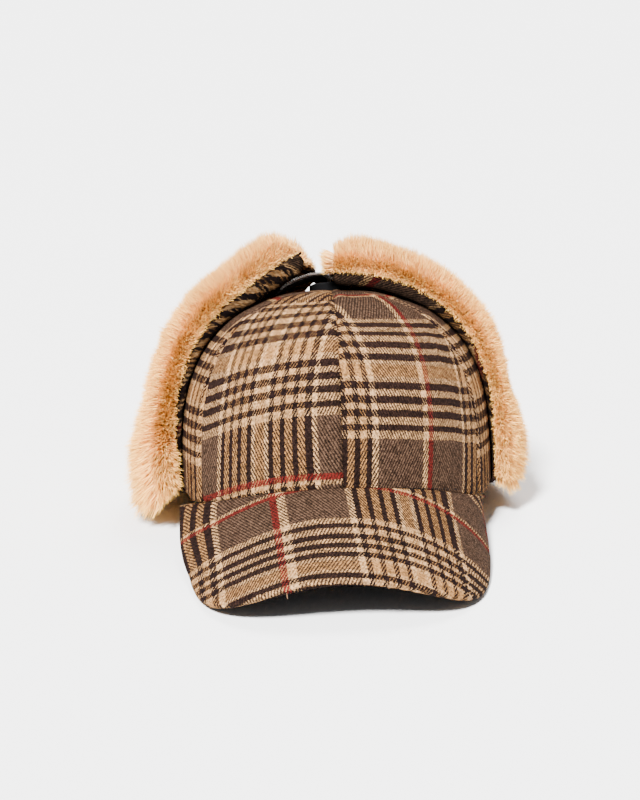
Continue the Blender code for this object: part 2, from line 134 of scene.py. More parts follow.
# Place of the teeth in plan, their lift, the width of the tape and its far edge's lift.
ZIP_RIGHT = (
    (-29, -8, 2.9, 3, 1.4), (-21, -2, 5.6, 3.2, 3), (-12, 6, 7.6, 4.4, 4.6),
    (-4.5, 15, 7.9, 6, 5.4), (-1.2, 24, 6.4, 6.5, 4.6), (-1.2, 47, 4.6, 6.5, 4),
)
ZIP_LEFT = (
    (3.2, 3, 5.6, 6.5, 5.2), (2.2, 12, 5.6, 6.5, 4.8), (1.2, 24, 6.2, 6.5, 4.6),
    (1.2, 47, 4.6, 6.5, 4),
)
TAPE_STEP = 1.0
TOOTH_STEP = 0.1
TOOTH_PITCH = 1.5
SLIDER = (5.6, 7.5, 2.2)
SLIDER_PLACE = 26.0
SLIDER_LIFT = 6.6

# The check, as charted: colour of the stripe, width in mm.
DARK_AND_CAMEL = (("dark", 2.7), ("camel", 3.6)) * 3 + (("dark", 2.7),)
DARK_AND_LIGHT = (("dark", 3.7), ("light", 3.7)) * 3 + (("dark", 3.7),)
WARP = (
    ("cream", 2.7), *DARK_AND_CAMEL, ("cream", 2.4), ("camel", 5.0), ("cream", 2.4),
    *DARK_AND_CAMEL, ("cream", 2.7), ("plain", 26.0), ("red", 3.2), ("cream", 3.2),
    ("plain", 26.0),
)
WEFT = (
    ("light", 3.7), *DARK_AND_LIGHT, ("light", 2.8), ("camel", 7.0), ("light", 2.8),
    *DARK_AND_LIGHT, ("light", 3.7), ("plain", 29.0), ("light", 2.8), ("red", 3.2),
    ("plain", 29.0),
)
WARP_THREAD = 0.38
WEFT_THREAD = 0.80
YARN = {
    "cream": (0.350, 0.199, 0.091),
    "light": (0.285, 0.160, 0.072),
    "camel": (0.208, 0.101, 0.037),
    "dark": (0.0080, 0.0040, 0.0034),
    "red": (0.074, 0.0075, 0.0060),
    "plain": (0.060, 0.034, 0.0205),
}
PLAIN_GROUND = (0.0120, 0.0062, 0.0044)
PLAIN_UNDER_STRIPE = (0.022, 0.0110, 0.0065)
YARN_WANDER = (1.5, 2.3, 0.0)
# How far the warp comes forward where two yarns cross, and what their lightness adds.
WARP_FORWARD = 1.10
LIGHTER_FORWARD = 0.4
DARK_LIGHTNESS = 0.03
DARK_WARP_FORWARD = 0.18
DARK_WEFT_FORWARD = 0.28
NAP_DEPTH = 1.2
CROSSING_CONTRAST = 4.2


# Shapes of the cap.


def column(table, at, place=1):
    """One column of a table, read at values of its first column."""
    rows = np.array(table, float)
    return np.interp(at, rows[:, 0], rows[:, place])


def between(at, places, rows):
    """Rows of numbers that lie at the given places, read in between them."""
    return np.stack([np.interp(at, places, values) for values in rows.T], -1)


def unit(vectors):
    return vectors / np.maximum(np.linalg.norm(vectors, axis=-1, keepdims=True), 1e-6)


def running(steps, axis=0):
    """Running total along an axis, which starts at 0."""
    total = np.cumsum(steps, axis=axis)
    return np.concatenate([0 * total.take([0], axis), total], axis)


def distance_along(points, axis=0):
    return running(np.linalg.norm(np.diff(points, axis=axis), axis=-1), axis)


def dent(distance, width):
    """One at distance 0, fading out to both sides."""
    return np.exp(-((distance / width) ** 2))


def reach_at(up):
    return (1.0 - np.clip(up, 0, 1) ** TOP_EXPONENT) ** (1.0 / SIDE_EXPONENT)


def up_at(reach):
    return (1.0 - np.clip(reach, 0, 1) ** SIDE_EXPONENT) ** (1.0 / TOP_EXPONENT)


def front_or_back(angle):
    return np.where(np.cos(angle) > 0, CROWN_FRONT, CROWN_BACK)


def crown_point(up, angle, out=0.0):
    reach = reach_at(up)
    x = (CROWN_HALF_WIDTH + out) * reach * np.sin(angle)
    y = -(front_or_back(angle) + out) * reach * np.cos(angle)
    return np.stack(np.broadcast_arrays(x, y, (CROWN_HEIGHT + out) * up), -1)


def crown_height(x, y):
    deep = np.where(y < 0, CROWN_FRONT, CROWN_BACK)
    return CROWN_HEIGHT * up_at(np.hypot(x / CROWN_HALF_WIDTH, y / deep))


def crown_normal(points):
    x, y, up = points[..., 0], points[..., 1], points[..., 2] / CROWN_HEIGHT
    deep = np.where(y < 0, CROWN_FRONT, CROWN_BACK)
    reach = np.maximum(np.hypot(x / CROWN_HALF_WIDTH, y / deep), 1e-6)
    sides = SIDE_EXPONENT * reach ** (SIDE_EXPONENT - 2.0)
    lift = TOP_EXPONENT * np.maximum(up, 0.0) ** (TOP_EXPONENT - 1.0) / CROWN_HEIGHT
    return unit(np.stack([sides * x / CROWN_HALF_WIDTH**2, sides * y / deep**2, lift], -1))


def towards_end(start, end, count):
    """Numbers from start to end that lie closer together near the end."""
    return start + (end - start) * (1.0 - (1.0 - np.linspace(0, 1, count)) ** 4)


def climb(start, end, count):
    """Shares of the crown's height, at even distances up its surface."""
    fine = towards_end(start, end, 600)
    length = running(np.hypot(CLIMB_RADIUS * np.diff(reach_at(fine)), CROWN_HEIGHT * np.diff(fine)))
    return np.interp(np.linspace(0, length[-1], count + 1), length, fine)


def ripple(points, scale, seed):
    """Smooth noise from -1 to 1 over points in space, as a sum of waves."""
    rng = np.random.default_rng(seed)
    total = 0.0
    for octave in range(3):
        waves = rng.normal(size=(5, 3)) * (1.7**octave) / scale
        phases = rng.uniform(0, 2 * np.pi, 5)
        total = total + np.sin(points @ waves.T + phases).mean(-1) * 0.62**octave
    return total


def world(points):
    """Points in metres in the CAD frame."""
    x, y, z = points[..., 0], points[..., 1], points[..., 2]
    across = y * np.cos(LEAN) + z * np.sin(LEAN)
    rise = z * np.cos(LEAN) - y * np.sin(LEAN)
    return (np.stack([x, across, rise], -1) - SHIFT) * 0.001


def make(name, points, faces, material, uv=None, smooth=True):
    """A mesh piece from cap-frame points in mm, given quads and triangles as arrays."""
    mesh = bpy.data.meshes.new(name)
    points = world(np.asarray(points, float).reshape(-1, 3))
    groups = [np.asarray(group, np.int32) for group in faces]
    corners = np.concatenate([group.reshape(-1) for group in groups])
    sizes = np.concatenate([np.full(len(group), group.shape[1], np.int32) for group in groups])
    starts = np.concatenate([[0], np.cumsum(sizes)[:-1]]).astype(np.int32)
    mesh.vertices.add(len(points))
    mesh.vertices.foreach_set("co", points.astype(np.float32).reshape(-1))
    mesh.loops.add(len(corners))
    mesh.loops.foreach_set("vertex_index", corners)
    mesh.polygons.add(len(sizes))
    mesh.polygons.foreach_set("loop_start", starts)
    mesh.polygons.foreach_set("use_smooth", np.full(len(sizes), smooth))
    mesh.update(calc_edges=True)
    mesh.validate()
    if uv is not None:
        layer = mesh.uv_layers.new(name="cloth")
        used = np.empty(len(mesh.loops), np.int32)
        mesh.loops.foreach_get("vertex_index", used)
        every = np.asarray(uv, np.float32).reshape(-1, 2)[used]
        layer.data.foreach_set("uv", every.reshape(-1))
    body = bpy.data.objects.new(name, mesh)
    bpy.context.scene.collection.objects.link(body)
    body.data.materials.append(material)
    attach(body, "root")
    return body


def grid_faces(rows, columns, closed=False):
    """Quads of a grid of points; closed joins the last row to the first."""
    i, j = np.meshgrid(np.arange(rows), np.arange(columns), indexing="ij")
    total = rows if closed else rows + 1
    a = i * (columns + 1) + j
    b = ((i + 1) % total) * (columns + 1) + j
    return np.stack([a, a + 1, b + 1, b], -1).reshape(-1, 4)


def ring_faces(rings, sides):
    """Quads from each ring of points to the next, and the two faces that close the ends."""
    i, j = np.meshgrid(np.arange(rings - 1), np.arange(sides), indexing="ij")
    a, b = i * sides + j, i * sides + (j + 1) % sides
    ends = np.stack([np.arange(sides)[::-1], np.arange(sides) + (rings - 1) * sides])
    return np.stack([a, b, b + sides, a + sides], -1).reshape(-1, 4), ends


def shell(name, outer, inner, material, uv=None):
    """A closed piece between two grids of the same size."""
    rows, columns = outer.shape[:2]
    count = rows * columns
    number = np.arange(count).reshape(rows, columns)
    rim = np.concatenate([number[0, :-1], number[:-1, -1], number[-1, :0:-1], number[:0:-1, 0]])
    after = np.roll(rim, -1)
    sides = np.stack([rim, rim + count, after + count, after], -1)
    quads = grid_faces(rows - 1, columns - 1)
    faces = np.concatenate([quads, (quads + count)[:, ::-1], sides])
    points = np.concatenate([outer.reshape(-1, 3), inner.reshape(-1, 3)])
    a, b, c = points[faces[0, :3]]
    facing = np.dot(np.cross(b - a, c - a), outer[0, 0] - inner[0, 0])
    uv = np.zeros((count, 2)) if uv is None else uv.reshape(-1, 2)
    return make(name, points, [faces if facing > 0 else faces[:, ::-1]], material,
                np.concatenate([uv, uv]))


# Materials.


class Nodes:
    """Short calls for making a node tree."""

    def __init__(self, name):
        self.material = bpy.data.materials.new(name)
        self.material.use_nodes = True
        self.tree = self.material.node_tree
        self.tree.nodes.clear()
        self.output = self.tree.nodes.new("ShaderNodeOutputMaterial")
        self.shader = self.tree.nodes.new("ShaderNodeBsdfPrincipled")
        self.link(self.shader.outputs[0], self.output.inputs["Surface"])

    def node(self, kind, inputs=None, **settings):
        """A node with its settings, and its inputs linked or set by name or number."""
        made = self.tree.nodes.new("ShaderNode" + kind)
        for key, value in settings.items():
            setattr(made, key, value)
        for key, value in (inputs or {}).items():
            self.put(made.inputs[key], value)
        return made

    def link(self, source, target):
        self.tree.links.new(source, target)

    def put(self, target, value):
        if isinstance(value, bpy.types.NodeSocket):
            self.link(value, target)
        else:
            target.default_value = value

    def math(self, operation, *values):
        return self.node("Math", dict(enumerate(values)), operation=operation).outputs[0]

    def mix(self, factor, a, b, blend="MIX"):
        inputs = {"Factor": factor, "A": a, "B": b}
        return self.node("Mix", inputs, data_type="RGBA", blend_type=blend).outputs["Result"]

    def vector(self, operation, a, b):
        return self.node("VectorMath", {0: a, 1: b}, operation=operation).outputs[0]

    def shaded(self, colour, level):
        """The colour times a grey of that level."""
        grey = self.node("CombineColor", {0: level, 1: level, 2: level})
        return self.mix(1.0, colour, grey.outputs[0], "MULTIPLY")

    def noise(self, vector, scale, detail=2.0, roughness=0.5, output="Fac"):
        inputs = {"Vector": vector, "Scale": scale, "Detail": detail, "Roughness": roughness}
        return self.node("TexNoise", inputs).outputs[output]

    def ramp(self, factor, stops, interpolation="LINEAR"):
        """A ramp through stops of place and colour, and of alpha where a stop has one."""
        made = self.node("ValToRGB", {"Fac": factor})
        ramp = made.color_ramp
        ramp.interpolation = interpolation
        while len(ramp.elements) > 1:
            ramp.elements.remove(ramp.elements[-1])
        for number, (place, colour, *alpha) in enumerate(stops):
            element = ramp.elements.new(place) if number else ramp.elements[0]
            element.position = place
            element.color = (*colour, *(alpha or (1.0,)))
        return made

    def finish(self, colour, roughness, bump=None, strength=0.3, distance=0.0003, **sockets):
        self.put(self.shader.inputs["Base Color"], colour)
        self.put(self.shader.inputs["Roughness"], roughness)
        if bump is not None:
            made = self.node("Bump", {"Strength": strength, "Distance": distance, "Height": bump})
            self.link(made.outputs[0], self.shader.inputs["Normal"])
        for key, value in sockets.items():
            self.shader.inputs[key.replace("_", " ")].default_value = value
        return self.material


def stripe_stops(chart):
    """Stops of a ramp over one repeat. Alpha marks the plain stretches."""
    period = sum(width for _, width in chart)
    place = 0.0
    stops = []
    for name, width in chart:
        stops.append((place / period, YARN[name], 1.0 if name == "plain" else 0.0))
        place += width
    return stops, period


def plaid(name, turn=1.0, shade=1.0):
    """Brushed 2/2 twill in the charted check. UV is in mm on the cloth, warp then weft."""
    n = Nodes(name)
    uv = n.node("UVMap", uv_map="cloth").outputs[0]
    wander = n.vector("SUBTRACT", n.noise(uv, 1.7, 2.0, 0.6, "Color"), (0.5, 0.5, 0.5))
    moved = n.vector("ADD", uv, n.vector("MULTIPLY", wander, YARN_WANDER))
    split = n.node("SeparateXYZ", {0: moved})
    fine_u = n.math("DIVIDE", split.outputs[0], WARP_THREAD)
    fine_v = n.math("DIVIDE", split.outputs[1], WEFT_THREAD)
    thread_u, thread_v = n.math("FLOOR", fine_u), n.math("FLOOR", fine_v)

    def stripe(thread, size, chart):
        stops, period = stripe_stops(chart)
        middle = n.math("MULTIPLY", n.math("ADD", thread, 0.5), size / period)
        return n.ramp(n.math("FRACT", middle), stops, "CONSTANT")

    warp = stripe(thread_u, WARP_THREAD, WARP)
    weft = stripe(thread_v, WEFT_THREAD, WEFT)
    weft_plain = weft.outputs["Alpha"]
    weft_striped = n.math("SUBTRACT", 1.0, weft_plain)

    # The ribs lean the other way over the plain rows. They repeat every four threads.
    leaning = n.math("MULTIPLY", fine_v, turn)
    run, other = [n.math("FRACT", n.math("MULTIPLY", n.math(way, fine_u, leaning), 0.25))
                  for way in ("SUBTRACT", "ADD")]
    rib = n.math("ADD", n.math("MULTIPLY", other, weft_plain),
                 n.math("MULTIPLY", run, weft_striped))
    nap = n.noise(uv, 2.6, 3.0, 0.8)

    quiet = n.math("MULTIPLY", warp.outputs["Alpha"], weft_striped)
    warp_colour = n.mix(quiet, warp.outputs["Color"], (*PLAIN_UNDER_STRIPE, 1.0))
    weft_colour = n.mix(weft_plain, weft.outputs["Color"], (*PLAIN_GROUND, 1.0))
    # The brushed dark yarn shows wider than the others where they cross, most of all in
    # the weft.
    lightness = [n.node("RGBToBW", {0: made.outputs["Color"]}).outputs[0]
                 for made in (warp, weft)]
    dark_warp, dark_weft = [n.math("LESS_THAN", tone, DARK_LIGHTNESS) for tone in lightness]
    bias = n.math("MULTIPLY_ADD", n.math("SUBTRACT", lightness[1], lightness[0]),
                  LIGHTER_FORWARD, WARP_FORWARD)
    bias = n.math("MULTIPLY_ADD", dark_warp, DARK_WARP_FORWARD, bias)
    bias = n.math("MULTIPLY_ADD", dark_weft, -DARK_WEFT_FORWARD, bias)
    nearer = n.math("SUBTRACT", bias, n.math("MULTIPLY_ADD", nap, NAP_DEPTH, rib))
    over = n.node("Clamp", {"Value": n.math("MULTIPLY_ADD", nearer, CROSSING_CONTRAST, 0.5)})
    colour = n.mix(over.outputs[0], weft_colour, warp_colour)

    pair = n.math("FLOOR", n.math("MULTIPLY", fine_u, 0.5))
    cell = n.node("CombineXYZ", {0: pair, 1: thread_v}).outputs[0]
    speck = n.node("TexWhiteNoise", {"Vector": cell}, noise_dimensions="2D")
    # Below 1, shade darkens every yarn as painted shade.
    level = n.math("MULTIPLY_ADD", speck.outputs["Value"], 1.15 * shade, 0.36 * shade)
    mottle = n.math("MULTIPLY_ADD", n.noise(uv, 0.3, 3.0), 0.6, 0.75)
    colour = n.shaded(colour, n.math("MULTIPLY", level, mottle))
    swell = n.math("SINE", n.math("MULTIPLY", rib, 2 * np.pi))
    height = n.math("MULTIPLY_ADD", swell, 0.3, n.noise(uv, 3.0, 3.0, 0.7))
    return n.finish(colour, 0.92, height, 0.6, 0.0004, Specular_IOR_Level=0.03)


def cloth(name, colour, scale, roughness, shine):
    """A plain woven cloth or cord with a fine weave and some mottling."""
    n = Nodes(name)
    place = n.node("TexCoord").outputs["Object"]
    weave = n.node("TexWave", {"Vector": place, "Scale": scale, "Distortion": 2.0},
                   wave_type="BANDS", bands_direction="DIAGONAL")
    mottle = n.noise(place, 90.0, 4.0)
    dark = (*[c * 0.55 for c in colour], 1.0)
    light = (*[min(c * 1.6, 1.0) for c in colour], 1.0)
    height = n.math("ADD", weave.outputs["Fac"], mottle)
    return n.finish(n.mix(mottle, dark, light), roughness, height, 0.4, 0.0002,
                    Specular_IOR_Level=shine)


def pile_material(name, root, middle, tip):
    """Pile: UV holds a random number and the place from root to tip."""
    n = Nodes(name)
    split = n.node("SeparateXYZ", {0: n.node("UVMap", uv_map="cloth").outputs[0]})
    # The colour darkens from tip to root: painted shade deep in the pile.
    along = n.ramp(split.outputs[1], ((0.0, root), (0.45, middle), (1.0, tip))).outputs["Color"]
    patch = n.noise(n.node("TexCoord").outputs["Object"], 55.0, 3.0)
    level = n.math("MULTIPLY_ADD", split.outputs[0], 0.32, 0.80)
    level = n.math("MULTIPLY", level, n.math("MULTIPLY_ADD", patch, 0.4, 0.82))
    return n.finish(n.shaded(along, level), 0.85, Specular_IOR_Level=0.06)


def metal(name, colour, roughness):
    n = Nodes(name)
    worn = n.noise(n.node("TexCoord").outputs["Object"], 400.0, 4.0)
    light = (*[min(c * 2.2, 1.0) for c in colour], 1.0)
    rough = n.math("MULTIPLY_ADD", worn, 0.25, roughness)
    return n.finish(n.mix(worn, (*colour, 1.0), light), rough, worn, 0.2, 0.0001, Metallic=0.9)


PLAID = plaid("plaid_wool")
PLAID_PEAK = plaid("plaid_wool_peak", -1.0)
# The rolled edges of the flaps are darkened as painted shade from the pile over them.
PLAID_ROLL_PAINTED_SHADE = plaid("plaid_wool_roll_painted_shade", 1.0, 0.27)
# Black cotton, made darker still as painted shade under the peak and inside the crown.
UNDER_AND_PAINTED_SHADE = cloth("dark_cotton", (0.0013, 0.0011, 0.0011), 900.0, 0.95, 0.01)
THREAD = cloth("seam_thread", (0.0045, 0.003, 0.0025), 2500.0, 0.8, 0.1)
TONE_THREAD = cloth("tone_thread", (0.16, 0.09, 0.045), 2500.0, 0.8, 0.1)
TAPE_CLOTH = cloth("zip_tape", (0.0045, 0.0045, 0.005), 1400.0, 0.9, 0.08)
METAL = metal("zip_metal", (0.150, 0.142, 0.135), 0.34)
FUR = pile_material(
    "camel_fur", (0.66, 0.375, 0.175), (0.93, 0.520, 0.165), (1.0, 0.620, 0.155))


# Crown.


# The cloth on a panel: warp in mm by place across the panel, weft in mm by height up it,
# and how far the rows drop by place across. Drift leans the warp, and spread widens it
# towards the top.
FRONT_RIGHT_CLOTH = {
    "warp": ((-45, -15.8), (-26.9, 1.35), (-23.9, 4.05), (-18.1, 10.35), (-12.4, 16.65),
             (-6.5, 22.95), (0, 29.2), (6.65, 35.45), (12.95, 41.75), (19.45, 48.05),
             (26.2, 54.35), (29.85, 57.05), (45, 71)),
    "weft": ((-10, -57.5), (16.9, -30.6), (53.2, 5.55), (60.8, 12.95), (67.6, 20.35),
             (75.3, 27.75), (84.4, 35.9), (93.5, 44.05), (102.8, 51.45), (111.9, 58.85),
             (122.2, 66.25), (150, 92)),
    "drop": ((-41, 15.8), (-27, 11.5), (-15, 8), (-5, 5.6), (5, 3.5),
             (14, 1.8), (25, 0.5), (44, 0)),
    "drift": 0.0,
    "spread": 0.0022,
}
FRONT_LEFT_CLOTH = {
    "warp": ((-50, 141.5), (-35.6, 127.15), (-29.5, 120.85), (-26.5, 118.15), (2.7, 89.2),
             (5.5, 86), (32, 57.05), (50, 39)),
    "weft": ((-10, -46), (41, 5.55), (47.9, 12.95), (55, 20.35), (62.7, 27.75),
             (69.9, 35.9), (77.9, 44.05), (85.8, 51.45), (93.3, 58.85), (99.6, 66.25),
             (150, 115)),
    "drop": ((-36, 0), (-12, 1.8), (5, 3.9), (20, 5.6), (33, 8.4), (43, 9.5)),
    "drift": 0.075,
    "spread": 0.0,
}
SIDE_RIGHT_CLOTH = {
    "warp": ((-60, -88), (60, 32)),
    "weft": ((-10, -30), (150, 130)),
    "drop": ((-60, 3), (0, 0), (60, 3)),
    "drift": 0.0,
    "spread": 0.0,
}
SIDE_LEFT_CLOTH = dict(SIDE_RIGHT_CLOTH, warp=((-60.0, 30.0), (60.0, -90.0)))
BACK_RIGHT_CLOTH = dict(SIDE_RIGHT_CLOTH, warp=((-60.0, 0.0), (60.0, 120.0)))
BACK_LEFT_CLOTH = dict(SIDE_RIGHT_CLOTH, warp=((-60.0, 118.0), (60.0, -2.0)))
DRIFT_FROM = 44.0
SPREAD_FROM = 40.0
# Name of the panel, angles of its two seams, and the cloth on it.
PANELS = (
    ("crown_front_right", -60.0, 0.0, FRONT_RIGHT_CLOTH),
    ("crown_front_left", 0.0, 60.0, FRONT_LEFT_CLOTH),
    ("crown_side_right", -120.0, -60.0, SIDE_RIGHT_CLOTH),
    ("crown_side_left", 60.0, 120.0, SIDE_LEFT_CLOTH),
    ("crown_back_right", -180.0, -120.0, BACK_RIGHT_CLOTH),
    ("crown_back_left", 120.0, 180.0, BACK_LEFT_CLOTH),
)
CROWN_ROWS = 84
CROWN_COLUMNS = 48


def cloth_uv(chart, across, height):
    moved = across - chart["drift"] * (height - DRIFT_FROM)
    moved = moved / (1.0 + chart["spread"] * (SPREAD_FROM - height))
    weft = column(chart["weft"], height + column(chart["drop"], across))
    return np.stack([column(chart["warp"], moved), weft], -1)


def crown_panel(name, first, last, chart):
    first, last = np.radians(first), np.radians(last)
    even = np.linspace(0, 1, CROWN_COLUMNS + 1)
    share = 0.6 * (0.5 - 0.5 * np.cos(np.pi * even)) + 0.4 * even
    bare = first + (last - first) * share
    edge = column(CROWN_EDGE, np.degrees(np.abs(bare)))
    tip = up_at(CROWN_TIP_REACH)
    ups = np.array([climb(low / CROWN_HEIGHT, tip, CROWN_ROWS) for low in edge]).T
    angle = bare[None, :] + 0 * ups
    outer = crown_point(ups, angle)
    normal = crown_normal(outer)
    seam = np.minimum(share, 1 - share) * reach_at(ups) * SEAM_RADIUS * np.abs(last - first)

    # Height up the middle of the panel, and place across it, both along the cloth.
    fine = towards_end(-0.05, tip, 900)
    length = distance_along(crown_point(fine, (first + last) / 2 + 0 * fine))
    height = np.interp(ups, fine, length - np.interp(0.0, fine, length))
    across = distance_along(outer, 1)
    across = across - np.array([np.interp(0.5, share, row) for row in across])[:, None]

    # Seams lie low with a swell beside them, and the cloth pulls and ripples in between.
    hem = height - height[0]
    dip = 0.30 * dent(seam - 4.0, 2.4) - 1.25 * dent(seam, 1.4)
    pull = 0.35 * ripple(outer, 13.0, 3) + 0.22 * ripple(outer, 5.0, 4) * np.exp(-seam / 8.0)
    if "front" in name:
        dip = dip - 0.75 * dent(hem - BROW_ROW, 0.8) - 0.7 * dent(hem, 1.0)
        wave = np.sin(bare * 62.0 + ripple(outer, 20.0, 9))
        pull = pull + 0.35 * np.exp(-hem / 9.0) * wave
    fade = np.clip(reach_at(ups) / 0.16, 0.25, 1.0)
    outer = outer + normal * ((dip + pull) * fade)[..., None]
    inner = crown_point(ups, angle, 0.9 - CROWN_WALL)
    piece = shell(name + "_cloth", outer, inner, PLAID, cloth_uv(chart, across, height))
    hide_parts(name)

    # The lining, with the band round the brow standing a little proud of it.
    few = (slice(None, None, 3), slice(None, None, 4))
    band = 0.8 / (1.0 + np.exp((hem[few] - 27.0) / 0.7))
    puff = 0.25 * ripple(outer[few], 14.0, 6)
    high = crown_point(ups[few], angle[few], 0.8 - CROWN_WALL)
    low = crown_point(ups[few], angle[few], -CROWN_WALL)
    low = low - normal[few] * (band + puff + 0.15)[..., None]
    lining = shell(name + "_lining", high, low, UNDER_AND_PAINTED_SHADE)
    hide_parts(name)


for entry in PANELS:
    crown_panel(*entry)


# Peak.


PEAK_COLUMNS = 110
PEAK_ROWS = 46
EDGE_TURNS = 8
# The cloth on the peak: warp by place across, weft by place along, and by how much the
# rows lie further back by place across.
PEAK_WARP = (
    (-97, -81.35), (-88.6, -75.05), (-80.3, -68.75), (-73.1, -62.45), (-68.1, -59.75),
    (-66.4, -58.4), (-37.8, -32.4), (-34, -29.2), (-30.2, -26), (0.2, 0),
    (4.9, 4.05), (23.7, 22.95), (36.3, 35.45), (55.1, 54.35), (59.8, 57.05), (90, 84.4),
)
PEAK_WEFT = (
    (-60, -89.6), (-1, -30.6), (29.7, 1.85), (34.3, 5.55), (43.3, 12.95), (50.8, 20.35),
    (58.4, 27.75), (66.7, 35.9), (74.7, 44.05), (82, 50.8), (100, 68.8),
)
PEAK_DROP = (
    (-98, 28), (-92, 25.2), (-68, 12.2), (-52, 6.2), (-37, 3), (0, 0),
    (27, -0.4), (41, 0.2), (53, 1), (66, 2.6), (81, 5.1), (98, 8),
)


def peak_point(across, along):
    bend = across / PEAK_BEND
    x = PEAK_BEND * np.sin(bend)
    y = -CROWN_FRONT - along * np.cos(PEAK_SLOPE)
    drop = PEAK_BEND * (1.0 - np.cos(bend))
    return np.stack([x, y, PEAK_SEAM_HEIGHT - along * np.sin(PEAK_SLOPE) - drop], -1)


def peak_normal(across):
    bend = across / PEAK_BEND
    slope, rise = np.cos(PEAK_SLOPE), np.sin(PEAK_SLOPE)
    return unit(np.stack([np.sin(bend) * slope, -np.cos(bend) * rise, np.cos(bend) * slope], -1))


def peak_lines(columns):
    """Start and end, across and along, of each line over the peak, right to left."""
    rows = np.array(PEAK_LINES)
    place = np.linspace(0, len(rows) - 1, columns + 1)
    number = np.arange(len(rows))
    seam = np.radians(np.interp(place, number, rows[:, 0]))
    edge = np.radians(np.interp(place, number, rows[:, 1]))
    start = PEAK_BEND * np.arcsin((CROWN_HALF_WIDTH + GAP) * np.sin(seam) / PEAK_BEND)
    start_along = ((CROWN_FRONT + GAP) * np.cos(seam) - CROWN_FRONT) / np.cos(PEAK_SLOPE)
    power = 2.0 / PEAK_CORNER
    end = PEAK_HALF_ARC * np.abs(np.cos(edge)) ** power
    end_along = PEAK_REAR + (PEAK_LENGTH - PEAK_REAR) * np.sin(edge) ** power
    lines = np.stack([start, start_along, end, end_along], -1)
    return np.concatenate([lines[:0:-1] * np.array([-1, 1, -1, 1]), lines])


def peak_uv(across, along):
    u = column(PEAK_WARP, across - 0.10 * np.maximum(along, -20.0))
    v = column(PEAK_WEFT, along + column(PEAK_DROP, across))
    return np.stack([u, v], -1)


def corner_swell(across, along):
    """How far the rear right corner stands out in the photo."""
    side = np.clip((-across - 62.0) / 26.0, 0, 1)
    rear = np.clip((8.0 - along) / 46.0, 0, 1)
    return -3.4 * side**2 * (3 - 2 * side) * np.sin(np.pi * 0.5 * rear)


def peak_place(flat, share=1.0, swell_at=None):
    """Points on the peak at places across and along it, with its skew and its swell."""
    place = peak_point(flat[..., 0], flat[..., 1])
    swell_at = flat if swell_at is None else swell_at
    place[..., 0] += PEAK_SKEW * share + corner_swell(swell_at[..., 0], swell_at[..., 1])
    return place


def peak():
    lines = peak_lines(PEAK_COLUMNS // 2)
    starts, ends = lines[:, :2], lines[:, 2:]
    length = np.linalg.norm(ends - starts, axis=1)
    away = (ends - starts) / length[:, None]
    lip = np.minimum(PEAK_LIP, 0.35 * length)
    radius = PEAK_EDGE / 2
    points, uv = [], []

    def add(row, flat):
        points.append(row)
        uv.append(peak_uv(flat[:, 0], flat[:, 1]))

    for share in np.linspace(0, 1, PEAK_ROWS + 1):
        flat = starts + away * (share * (length - radius))[:, None]
        base = peak_place(flat, share)
        edge = (1 - share) * (length - radius)
        dip = -0.9 * dent(share * length, 1.1) - 0.12 * dent(edge - 4.0, 0.9)
        dip = dip + 0.16 * ripple(base, 15.0, 11)
        dip = dip + 0.10 * np.exp(-edge / 3.0) * ripple(base, 4.0, 12)
        add(base + peak_normal(flat[:, 0]) * dip[:, None], flat)

    # Half a turn round the edge, then the lip below it.
    flat = starts + away * (length - radius)[:, None]
    base, normal = peak_place(flat), peak_normal(flat[:, 0])
    out = unit(peak_place(flat + away * radius, swell_at=flat) - base)
    centre = base - normal * radius
    rough = 0.10 * ripple(base, 4.0, 13)[:, None]
    for turn in np.linspace(0, np.pi, EDGE_TURNS + 1)[1:]:
        row = centre + (normal * np.cos(turn) + out * np.sin(turn)) * (radius + rough)
        add(row, flat + away * (radius * turn))
    for share in np.linspace(0, 1, 4)[1:]:
        back = flat - away * (share * (lip - radius))[:, None]
        row = peak_place(back) - peak_normal(back[:, 0]) * PEAK_EDGE
        add(row, flat + away * (radius * np.pi + share * 2.0))

    # The underside of the cloth, back to the seam.
    inset = np.maximum(length - lip - 0.3, 0.2)
    for share in np.linspace(1, 0, 8):
        back = starts + away * (share * inset)[:, None]
        down = peak_normal(back[:, 0]) if share else np.array([0.0, 0.0, 1.0])
        add(peak_place(back, share) - down * PEAK_CLOTH, back)

    points, uv = np.array(points), np.array(uv)
    rows, columns = points.shape[0], points.shape[1] - 1
    total = rows * (columns + 1)
    fans = []
    for k, j in enumerate((0, columns)):
        ring = np.arange(rows) * (columns + 1) + j
        after = np.roll(ring, -1)
        centre = np.full(rows, total + k)
        fans.append(np.stack([ring, after, centre] if k == 0 else [after, ring, centre], -1))

    def with_ends(grid):
        """The rows of a grid, then the middle of each of its two end loops."""
        return np.concatenate([grid.reshape(total, -1), grid[:, (0, -1)].mean(axis=0)])

    faces = [grid_faces(rows, columns, True), np.concatenate(fans)]
    piece = make("peak_cloth", with_ends(points), faces, PLAID_PEAK, with_ends(uv))
    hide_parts("peak_top")

    wide = slice(PEAK_COLUMNS // 20, len(lines) - PEAK_COLUMNS // 20)
    share = (np.linspace(0, 1, 13)[:, None] * (1.0 - (lip + 0.4) / length))[:, wide]
    flat = starts[wide] + (ends - starts)[wide] * share[..., None]
    top, normal = peak_place(flat, share), peak_normal(flat[..., 0])
    roof = top - normal * (PEAK_CLOTH + GAP)
    sole = top - normal * (PEAK_CLOTH + GAP + PEAK_UNDER_CLOTH)
    under = shell("peak_lining", roof, sole, UNDER_AND_PAINTED_SHADE)
    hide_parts("peak_under")


peak()


# Flaps.


